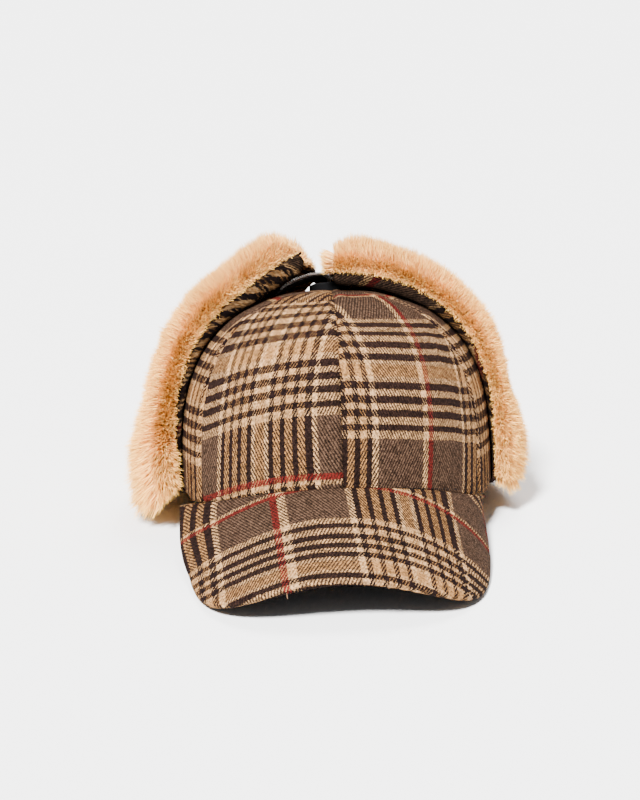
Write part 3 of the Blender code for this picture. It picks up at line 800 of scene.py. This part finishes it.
def flap_ends(table, side, columns, beyond):
    """Where the lines up a flap start at the hem and end over the crown, in plan."""
    rows = np.array(table)
    share = np.linspace(0, 1, columns + 1)
    place = (rows[:, 0] - rows[0, 0]) / (rows[-1, 0] - rows[0, 0])
    ahead, over = beyond
    hem = np.radians(np.interp(share, place, rows[:, 0]))
    hem = hem - ahead / CROWN_HALF_WIDTH * (1 - share) ** 8
    low_y = -front_or_back(hem) * np.cos(hem)
    low = np.stack([side * CROWN_HALF_WIDTH * np.sin(hem), low_y], -1)
    high = between(share, place, rows[:, 1:])
    high[:, 1] -= ahead * (1 - share) ** 8
    return share, hem, low, high + unit(high - low) * over


def flap_surface(table, side, up_shares, columns, beyond=(0.0, 0.0)):
    """Points on the crown under a flap, their normals and how far the flap stands off."""
    share, hem, low, high = flap_ends(table, side, columns, beyond)
    lines = []
    for start, end in zip(low, high):
        plan = start + (end - start) * (np.linspace(0, 1, 600) ** 3)[:, None]
        line = np.concatenate([plan, crown_height(plan[:, 0], plan[:, 1])[:, None]], 1)
        line = line[line[:, 2] > FOLD_HEIGHT]
        length = distance_along(line)
        lines.append(between(up_shares, length / length[-1], line))
    base = np.stack(lines, 1)
    front = column(STAND_OFF, up_shares, 1 if side < 0 else 2)[:, None]
    back = column(STAND_OFF, up_shares, 3)[:, None]
    off = back + (front - back) * (1 - share) ** 2.4
    return base, crown_normal(base), off, share, hem


def hem_rows(hem, side, outs, heights):
    """Rows of points along the hem, each at its own distance out and height."""
    rows = []
    for out, height in zip(outs, heights):
        x = side * (CROWN_HALF_WIDTH + out) * np.sin(hem)
        y = -(front_or_back(hem) + out) * np.cos(hem)
        rows.append(np.stack([x, y, height + 0.0 * x], -1))
    return np.array(rows)


# Where on the check each flap's cloth starts: warp on the right, warp on the left, weft.
FLAP_WARP_RIGHT = 18.0
FLAP_WARP_LEFT = 61.0
FLAP_WEFT = 40.0
ROLL_SIDES = 16
ROLL_WEFT = 77.0


def flap_cloth(side_name, side, table):
    base, normal, off, _, hem = flap_surface(table, side, np.linspace(0, 1, 61), 90)
    wave = 0.35 * ripple(base, 12.0, 21) + 0.25 * ripple(base, 5.0, 22)
    face = base + normal * (off + 0.3 + wave)[..., None]
    back = base + normal * (off + FLAP_CLOTH)[..., None]
    fold = hem_rows(hem, side, (-HEM_INSIDE, -1.0, 0.0, 0.5), (1.9, 1.9, 2.0, 2.8))
    under = hem_rows(hem, side, (-HEM_INSIDE, -1.0, 1.0, 2.4), (0.0, 0.0, 0.15, 1.6))
    inner, outer = np.concatenate([fold, face]), np.concatenate([under, back])
    inner[:, -1, 0] = outer[:, -1, 0] = 0.0
    across = distance_along(inner, 1) + (FLAP_WARP_RIGHT if side < 0 else FLAP_WARP_LEFT)
    uv = np.stack([across, distance_along(inner) + FLAP_WEFT], -1)
    piece = shell("flap_" + side_name + "_cloth", outer, inner, PLAID, uv)
    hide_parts("flap_cloth_" + side_name)


def flap_roll(side_name, side, table):
    """The cloth turned over a soft edge, which shows between the pile and the crown."""
    up_shares = np.linspace(0.015, 1, 90)
    surface, normal, off, _, _ = flap_surface(table, side, up_shares, 60)
    base, normal, off = surface[:, 0], normal[:, 0], off[:, 0]
    ahead = unit(base - surface[:, 3])
    ease = np.clip((1.0 - up_shares) * 26.0, 0.0, 1.0)
    ease = np.sqrt(np.clip(1.0 - (1.0 - ease) ** 2, 0.02, 1.0))
    most = 4.3 + 1.2 * np.clip(up_shares * 3.0 - 2.0, 0, 1) if side < 0 else 3.9
    high = np.minimum((off + FLAP_CLOTH - 0.7) / 2, most)
    wide = np.minimum(high, 3.2)
    centre = base + normal * (off + FLAP_CLOTH + 0.2 - high)[:, None]
    centre = centre + ahead * (wide * 0.35)[:, None]
    width = (wide * ease)[:, None]
    height = (high * ease * (1.0 + 0.05 * ripple(base, 6.0, 61)))[:, None]
    turns = np.linspace(0, 2 * np.pi, ROLL_SIDES, endpoint=False)
    rings = (centre[:, None] + ahead[:, None] * (width * np.cos(turns))[..., None]
             + normal[:, None] * (height * np.sin(turns))[..., None])

    along = distance_along(centre)
    along = (along - along[-1])[:, None]
    around = np.where(turns > np.pi, turns - 2 * np.pi, turns) * height
    start, lean = (64.0, 0.5) if side < 0 else (104.0, -0.3)
    uv = np.stack([start + along * 0.8 + around * 0.6,
                   ROLL_WEFT + around * 0.9 + along * lean], -1)
    name = "flap_" + side_name + "_roll"
    piece = make(name, rings, ring_faces(len(centre), ROLL_SIDES), PLAID_ROLL_PAINTED_SHADE, uv)
    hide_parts("flap_cloth_" + side_name)


for flap in (("right", -1, RIGHT_FLAP_LINES), ("left", 1, LEFT_FLAP_LINES)):
    flap_cloth(*flap)
    flap_roll(*flap)


# Pile.


FUR_ROWS = 48
FUR_COLUMNS = 64
STRANDS = 59000
RIM_SHARE = 0.17
# How far from the cloth to the outer form the ground of the pile lies.
BARE = 0.60


def fur_grids(side, table):
    """The backing along the cloth and the outer form of the pile, at the same places."""
    up_shares = np.linspace(0, 1, FUR_ROWS + 1)
    base, normal, off, _, _ = flap_surface(table, side, up_shares, FUR_COLUMNS)
    backing = base + normal * (off + FLAP_CLOTH + GAP)[..., None]
    beyond = (FUR_AHEAD, 0.0 if side < 0 else FUR_OVER)
    base, normal, off, share, hem = flap_surface(table, side, up_shares, FUR_COLUMNS, beyond)
    place = 1 if side < 0 else 2
    depth = column(FUR_DEPTH, up_shares, place)[:, None]
    kept = column(FUR_DEPTH, up_shares, place + 2)[:, None]
    near_top = np.clip((1 - up_shares[:, None]) * 12.0, 0, 1) ** 0.5
    near_front = np.clip(share[None, :] * 11.0, 0, 1) ** 0.5
    pile = depth * (kept + (1 - kept) * near_top * near_front)
    pile = pile + (2.2 if side < 0 else 3.0) * np.clip((up_shares[:, None] - 0.28) * 3.0, 0, 1)
    outs = off + FLAP_CLOTH + GAP + pile
    outer = base + normal * outs[..., None]
    drop = column(FUR_HEM, share, place)
    hang = column(FUR_HEM, share, place + 2)
    last = int(round(HANG_SHARE * FUR_ROWS))
    for row in range(last):
        part = row / last
        bulge = hang + (1 - hang) * part**0.6
        out = off[row] + FLAP_CLOTH + GAP + pile[row] * bulge
        height = drop + (outer[last, :, 2] - drop) * part
        outer[row] = hem_rows(hem, side, [out], [height])[0]
    outer[:, -1, 0] = backing[:, -1, 0] = 0.0
    return backing, outer


def sample(grid, i, j):
    """Points of a grid at real row and column places."""
    rows, columns = grid.shape[0] - 1, grid.shape[1] - 1
    i0 = np.clip(i.astype(int), 0, rows - 1)
    j0 = np.clip(j.astype(int), 0, columns - 1)
    a, b = (i - i0)[:, None], (j - j0)[:, None]
    low = grid[i0, j0] * (1 - b) + grid[i0, j0 + 1] * b
    high = grid[i0 + 1, j0] * (1 - b) + grid[i0 + 1, j0 + 1] * b
    return low * (1 - a) + high * a


def above_floor(points, least=0.4):
    """Lifts what would go through the surface that the cap stands on."""
    short = np.maximum(least - world(points)[..., 2] * 1000.0, 0.0)
    points[..., 2] += short / np.cos(LEAN)
    return points


def strands(name, roots, tips, side_hint, rng, node):
    """Fine tapered blades from roots to tips, each bent a little."""
    count = len(roots)
    along = tips - roots
    wide = unit(np.cross(along, side_hint + 0.6 * rng.normal(size=(count, 3))))
    girth = rng.uniform(0.15, 0.24, (count, 1))
    bend = roots + along * 0.55 + rng.normal(size=(count, 3)) * 0.4
    points = np.stack([
        roots - wide * girth, roots + wide * girth,
        bend - wide * girth * 0.9, bend + wide * girth * 0.9, tips,
    ], 1)
    start = np.arange(count)[:, None] * 5
    quads, ends = start + np.array([[0, 1, 3, 2]]), start + np.array([[2, 3, 4]])
    tone = np.repeat(rng.uniform(0, 1, count), 5)
    uv = np.stack([tone, np.tile((0, 0, 0.55, 0.55, 1.0), count)], -1)
    piece = make(name, above_floor(points), [quads, ends], FUR, uv)
    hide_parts(node)


def tufts(points, seed):
    """Noise in three directions, much the same for strands that stand together."""
    return np.stack([ripple(points, 3.2, seed + k) for k in range(3)], -1)


def fur(side_name, side, table):
    backing, outer = fur_grids(side, table)
    rng = np.random.default_rng(50 + side)
    node = "flap_fur_" + side_name
    inset_rows = np.linspace(0.02, 0.94 if side < 0 else 0.97, FUR_ROWS + 1) * FUR_ROWS
    inset_columns = np.linspace(0.035, 1.0, FUR_COLUMNS + 1) * FUR_COLUMNS
    i, j = np.meshgrid(inset_rows, inset_columns, indexing="ij")
    near, far = [sample(grid, i.reshape(-1), j.reshape(-1)).reshape(outer.shape)
                 for grid in (backing, outer)]
    bare = near + (far - near) * BARE
    # The ground takes the colour near the root, the painted shade deep in the pile.
    uv = np.stack([0.5 + 0 * i, 0.05 + 0 * i], -1)
    piece = shell("pile_" + side_name + "_ground", bare, backing, FUR, uv)
    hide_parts(node)

    # Area of each cell of the ground, so that the strands lie evenly.
    a, b = bare[1:, :-1] - bare[:-1, :-1], bare[:-1, 1:] - bare[:-1, :-1]
    area = np.linalg.norm(np.cross(a, b), axis=-1)
    rows, columns = area.shape
    chance = (area / area.sum()).reshape(-1)
    rim = int(STRANDS * RIM_SHARE)
    for part in range(2):
        cells = rng.choice(rows * columns, STRANDS - rim, p=chance)
        ci = cells // columns + rng.uniform(0, 1, len(cells))
        cj = cells % columns + rng.uniform(0, 1, len(cells))
        roots, goals, deep = [sample(grid, ci, cj) for grid in (bare, far, near)]
        # The pile leans a little down the flap.
        low = unit(sample(bare, np.maximum(ci - 1.0, 0), cj) - roots)
        roots = roots + (deep - roots) * 0.15
        along = goals - roots
        size = np.linalg.norm(along, axis=1, keepdims=True)
        tips = roots + along * rng.uniform(0.82, 1.16, (len(roots), 1))
        tips = tips + low * size * 0.12 + tufts(roots, 31 + 7 * part) * size * 0.24
        tips = tips + rng.normal(size=tips.shape) * size * 0.07

        # Strands of the rim: out of the side walls at the lower, upper and front edges.
        edge = rng.choice(3, rim, p=(0.36, 0.14, 0.50))
        lower, upper, front = [edge == k for k in range(3)]
        place = rng.uniform(0, 1, rim)
        ei = np.where(lower, 0.0, np.where(upper, float(rows), place * rows))
        ej = np.where(front, 0.0, place * columns)
        outer_edge, inner_edge = sample(bare, ei, ej), sample(backing, ei, ej)
        lift = rng.uniform(0.05, 1, (rim, 1))
        rim_roots = inner_edge + (outer_edge - inner_edge) * lift
        behind = sample(bare, ei + 3.0 * lower - 3.0 * upper, ej + 3.0 * front)
        out = unit(outer_edge - behind)
        up = sample(far, ei, ej) - outer_edge
        ahead, over = 5.6, 6.6
        if side < 0:
            ahead = np.interp(ei / rows, (0.0, 0.14, 0.75, 1.0), (12.0, 7.5, 5.6, 1.6))
            over = 2.0
        reach = np.where(lower, 6.6, np.where(front, ahead, over))[:, None]
        reach = reach + rng.uniform(-1.3, 1.3, (rim, 1))
        rim_tips = rim_roots + out * reach * (0.75 + 0.25 * lift) + up * (lift * 1.1 - 0.1)
        rim_tips = rim_tips + tufts(rim_roots, 41 + 7 * part) * 1.4
        rim_tips = rim_tips + rng.normal(size=rim_tips.shape) * 0.45
        strands(f"pile_{side_name}_{part + 1}", np.concatenate([roots, rim_roots]),
                np.concatenate([tips, rim_tips]), np.concatenate([low, out]), rng, node)


fur("right", -1, RIGHT_FLAP_LINES)
fur("left", 1, LEFT_FLAP_LINES)


# Zip and stitches.


def zip_edges(table, side, step):
    """The line of the teeth and the far edge of the tape, at even steps along the zip."""
    rows = np.array(table)[::-1]
    length = distance_along(rows[:, :2])
    x, y, lift, spread, low = between(np.arange(0.0, length[-1], step), length, rows).T
    path = unit(np.gradient(np.stack([x, y], -1), axis=0))
    away = np.stack([path[:, 1], -path[:, 0]], -1) * side
    away *= np.sign((away @ np.array([side, 0.0])).mean())
    flap_x, flap_y = x + away[:, 0] * spread, y + away[:, 1] * spread
    teeth = np.stack([x, y, crown_height(x, y) + lift], -1)
    edge = np.stack([flap_x, flap_y, crown_height(flap_x, flap_y) + low], -1)
    return teeth, edge


def across_and_normal(teeth, edge):
    across = unit(teeth - edge)
    normal = unit(np.cross(np.gradient(teeth, axis=0), across))
    return across, normal * np.sign(normal[:, 2:])


BOX_CORNERS = np.array(np.meshgrid((-1, 1), (-1, 1), (-1, 1), indexing="ij")).reshape(3, -1).T
BOX_FACES = np.array([(0, 1, 3, 2), (4, 6, 7, 5), (0, 4, 5, 1), (2, 3, 7, 6), (0, 2, 6, 4),
                      (1, 5, 7, 3)])


def blocks(name, items, node):
    """Metal boxes with rounded edges, each from its centre, axes and half sizes."""
    points = [centre + (BOX_CORNERS * sizes) @ np.array(axes) for centre, axes, sizes in items]
    quads = np.concatenate([BOX_FACES + len(BOX_CORNERS) * k for k in range(len(items))])
    piece = make(name, points, [quads], METAL, smooth=False)
    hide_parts(node)
    bevel = piece.modifiers.new("round", "BEVEL")
    bevel.width = 0.00014
    bevel.segments = 2
    bevel.limit_method = "NONE"


def zip_side(side_name, side, table, phase):
    teeth, edge = zip_edges(table, side, TAPE_STEP)
    across, normal = across_and_normal(teeth, edge)
    shares = np.linspace(0, 1, 9)[:, None, None]
    upper = edge + (teeth - edge) * shares
    sag = 0.25 * np.sin(np.pi * shares) * ripple(upper, 4.0, 40)[..., None]
    upper = upper + normal * (0.12 + sag)
    piece = shell(f"zip_{side_name}_tape", upper, upper - normal * 0.8, TAPE_CLOTH)
    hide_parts("zip_tape_" + side_name)

    teeth, edge = zip_edges(table, side, TOOTH_STEP)
    across, normal = across_and_normal(teeth, edge)
    path = unit(np.gradient(teeth, axis=0))
    items = []
    for k in range(int((len(teeth) * TOOTH_STEP - 1.0) / TOOTH_PITCH)):
        at = int(round((k + phase) * TOOTH_PITCH / TOOTH_STEP))
        axes = (across[at], normal[at], path[at])
        root = teeth[at] + normal[at] * 0.45
        items.append((root + across[at] * 0.2, axes, (1.5, 0.62, 0.36)))
        items.append((root + across[at] * 1.9, axes, (0.42, 0.62, 0.5)))
    blocks(f"zip_{side_name}_teeth", items, "zip_teeth_" + side_name)


zip_side("right", -1, ZIP_RIGHT, 0.2)
zip_side("left", 1, ZIP_LEFT, 0.7)


def slider():
    """The slider, half hidden between the flaps where the two rows of teeth meet."""
    wide, long, high = SLIDER
    outline = ((-0.5, 0.30), (-0.42, 0.45), (-0.25, 0.5), (0.25, 0.5), (0.42, 0.45), (0.5, 0.30),
               (0.42, -0.1), (0.3, -0.42), (0.2, -0.5), (-0.2, -0.5), (-0.3, -0.42), (-0.42, -0.1))
    levels = ((0.0, 0.9), (0.12, 1.0), (0.38, 1.0), (0.5, 0.82), (0.62, 1.0), (0.88, 1.0),
              (1.0, 0.88))
    base = crown_height(0.0, SLIDER_PLACE) + SLIDER_LIFT
    points = [(u * wide * shrink, SLIDER_PLACE - v * long * shrink, base + level * high)
              for level, shrink in levels for u, v in outline]
    piece = make("zip_slider_body", points, ring_faces(len(levels), len(outline)), METAL)
    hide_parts("zip_slider")


slider()


def tape_end():
    """The ends of the two tapes, folded down towards the crown."""
    x = np.linspace(-11.5, 10.5, 25)
    y = 9.0 + 0.012 * (x + 4.0) ** 2
    lift = np.linspace(0, 1, 7)[:, None]
    low = crown_height(x, y) - 0.9
    high = low + np.interp(x, (-11.5, -9.0, 2.0, 10.5), (3.6, 4.6, 5.4, 5.6))
    bowed = y - 1.6 * lift + 0.4 * np.sin(x * 0.8)
    face = np.stack([x + 0 * lift, bowed, low + (high - low) * lift], -1)
    piece = shell("zip_tape_end", face, face + np.array([0.0, 0.9, 0.0]), TAPE_CLOTH)
    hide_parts("zip_tape_right")


tape_end()


# Place along a stitch and thickness of each of its rings, as shares.
BEAD_RINGS = ((-0.5, 0.35), (-0.4, 0.85), (0.0, 1.0), (0.4, 0.85), (0.5, 0.35))
BEAD_SIDES = 6


def beads(name, centres, along, normal, length, radius, material, node):
    """Short rounded stitches laid along a line."""
    across = np.cross(along, normal)
    turns = np.linspace(0, 2 * np.pi, BEAD_SIDES, endpoint=False)[:, None]
    round_them = across[:, None] * np.cos(turns) + normal[:, None] * np.sin(turns)
    rings = []
    for place, thick in BEAD_RINGS:
        sag = -0.5 * radius * (abs(place) * 2) ** 2
        middle = centres + along * (place * length) + normal * sag
        rings.append(middle[:, None] + radius * thick * round_them)
    start = np.arange(len(centres))[:, None, None] * len(BEAD_RINGS) * BEAD_SIDES
    faces = [(group + start).reshape(-1, group.shape[1])
             for group in ring_faces(len(BEAD_RINGS), BEAD_SIDES)]
    piece = make(name, np.stack(rings, 1), faces, material)
    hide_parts(node)


def stitch_line(name, points, normals, pitch, length, radius, material, node):
    """Stitches at an even pitch along a line of points."""
    steps = distance_along(points)
    places = np.arange(pitch / 2, steps[-1] - pitch / 2, pitch)
    along = unit(between(places + 0.3, steps, points) - between(places - 0.3, steps, points))
    beads(name, between(places, steps, points), along, unit(between(places, steps, normals)),
          length, radius, material, node)


def crown_stitches():
    for side, side_name in ((-1, "right"), (1, "left")):
        angle = np.radians(np.linspace(0.8, 71.0, 300)) * side
        low = column(CROWN_EDGE, np.degrees(np.abs(angle))) + BROW_ROW
        points = crown_point(low / CROWN_HEIGHT, angle)
        normals = crown_normal(points)
        stitch_line("brow_stitches_" + side_name, points - normals * 0.30, normals,
                    2.9, 2.2, 0.26, THREAD, "crown_front_" + side_name)
        for seam, panel, way in ((60, "front", -1), (60, "side", 1), (120, "side", -1),
                                 (120, "back", 1), (180, "back", -1)):
            up = climb(0.09, 0.985, 160)
            reach = np.maximum(reach_at(up), 0.02)
            angle = np.radians(seam) * side + way * side * 2.1 / (SEAM_RADIUS * reach)
            points = crown_point(up, angle)
            normals = crown_normal(points)
            stitch_line(f"seam_stitches_{side_name}_{seam}_{panel}", points - normals * 0.02,
                        normals, 2.6, 1.7, 0.2, TONE_THREAD if seam < 90 else THREAD,
                        f"crown_{panel}_{side_name}")


crown_stitches()


def stray_stitches():
    """Ends of yarn that the brushing has pulled up at the front edge of the peak."""
    across = np.array([16.5, 17.6, -31.0])
    centres = peak_point(across, PEAK_LENGTH - 0.9 - 0.0011 * across**2)
    centres = centres + np.array([0.0, -0.9, -2.2])
    along = unit(np.array([[0.25, -0.35, -0.9], [-0.5, -0.3, -0.8], [0.1, -0.3, -0.95]]))
    normal = unit(np.cross(along, np.tile([1.0, 0.0, 0.0], (3, 1))))
    beads("peak_edge_yarn_ends", centres, along, normal, 2.8, 0.2, TONE_THREAD, "peak_top")


stray_stitches()


# Camera, floor and light.


# Elevation, yaw and roll in degrees, the point looked at and the distance in metres, and
# the focal length as a share of the picture's longer side.
CAMERA_TURNS = (15.41, 1.815, -1.233)
CAMERA_TARGET = (-0.00376, 0.018995, 0.06373)
CAMERA_DISTANCE = 1.1
FOCAL_SHARE = 2054.8 / 800.0
SENSOR = 36.0


def camera():
    elevation, yaw, roll = np.radians(CAMERA_TURNS)
    back = Vector((-np.sin(yaw) * np.cos(elevation), -np.cos(yaw) * np.cos(elevation),
                   np.sin(elevation)))
    flat = Vector((np.cos(yaw), -np.sin(yaw), 0.0))
    up = back.cross(flat)
    right = flat * np.cos(roll) + up * np.sin(roll)
    above = up * np.cos(roll) - flat * np.sin(roll)
    data = bpy.data.cameras.new("camera")
    data.sensor_width = SENSOR
    data.lens = SENSOR * FOCAL_SHARE
    data.clip_start = 0.01
    data.clip_end = 100.0
    body = bpy.data.objects.new("camera", data)
    place = Vector(CAMERA_TARGET) + back * CAMERA_DISTANCE
    turn = Matrix((right, above, back)).transposed()
    body.matrix_world = Matrix.Translation(place) @ turn.to_4x4()
    bpy.context.scene.collection.objects.link(body)
    bpy.context.scene.camera = body


def sun(name, bearing, height, strength, angle):
    """A soft distant light; bearing is from the front towards the wearer's right."""
    data = bpy.data.lights.new(name, "SUN")
    data.energy = strength
    data.angle = np.radians(angle)
    body = bpy.data.objects.new(name, data)
    turn, rise = np.radians(bearing), np.radians(height)
    source = Vector((-np.sin(turn) * np.cos(rise), -np.cos(turn) * np.cos(rise), np.sin(rise)))
    body.rotation_euler = source.to_track_quat("Z", "Y").to_euler()
    bpy.context.scene.collection.objects.link(body)


def floor():
    mesh = bpy.data.meshes.new("floor")
    mesh.from_pydata([(-12, -8, 0), (12, -8, 0), (12, 16, 0), (-12, 16, 0)], [], [(0, 1, 2, 3)])
    body = bpy.data.objects.new("floor", mesh)
    n = Nodes("paper")
    place = n.node("TexCoord").outputs["Object"]
    tone = n.noise(place, 3.0, 2.0)
    colour = n.mix(tone, (0.94, 0.94, 0.94, 1), (0.97, 0.97, 0.97, 1))
    body.data.materials.append(n.finish(colour, 0.9))
    bpy.context.scene.collection.objects.link(body)


camera()
floor()
world_light = bpy.data.worlds.new("studio")
bpy.context.scene.world = world_light
world_light.use_nodes = True
background = world_light.node_tree.nodes["Background"]
background.inputs["Color"].default_value = (1.0, 1.0, 1.0, 1.0)
background.inputs["Strength"].default_value = 0.36
sun("key", 22.0, 48.0, 17.5, 11.0)
sun("back", -150.0, 62.0, 3.4, 30.0)
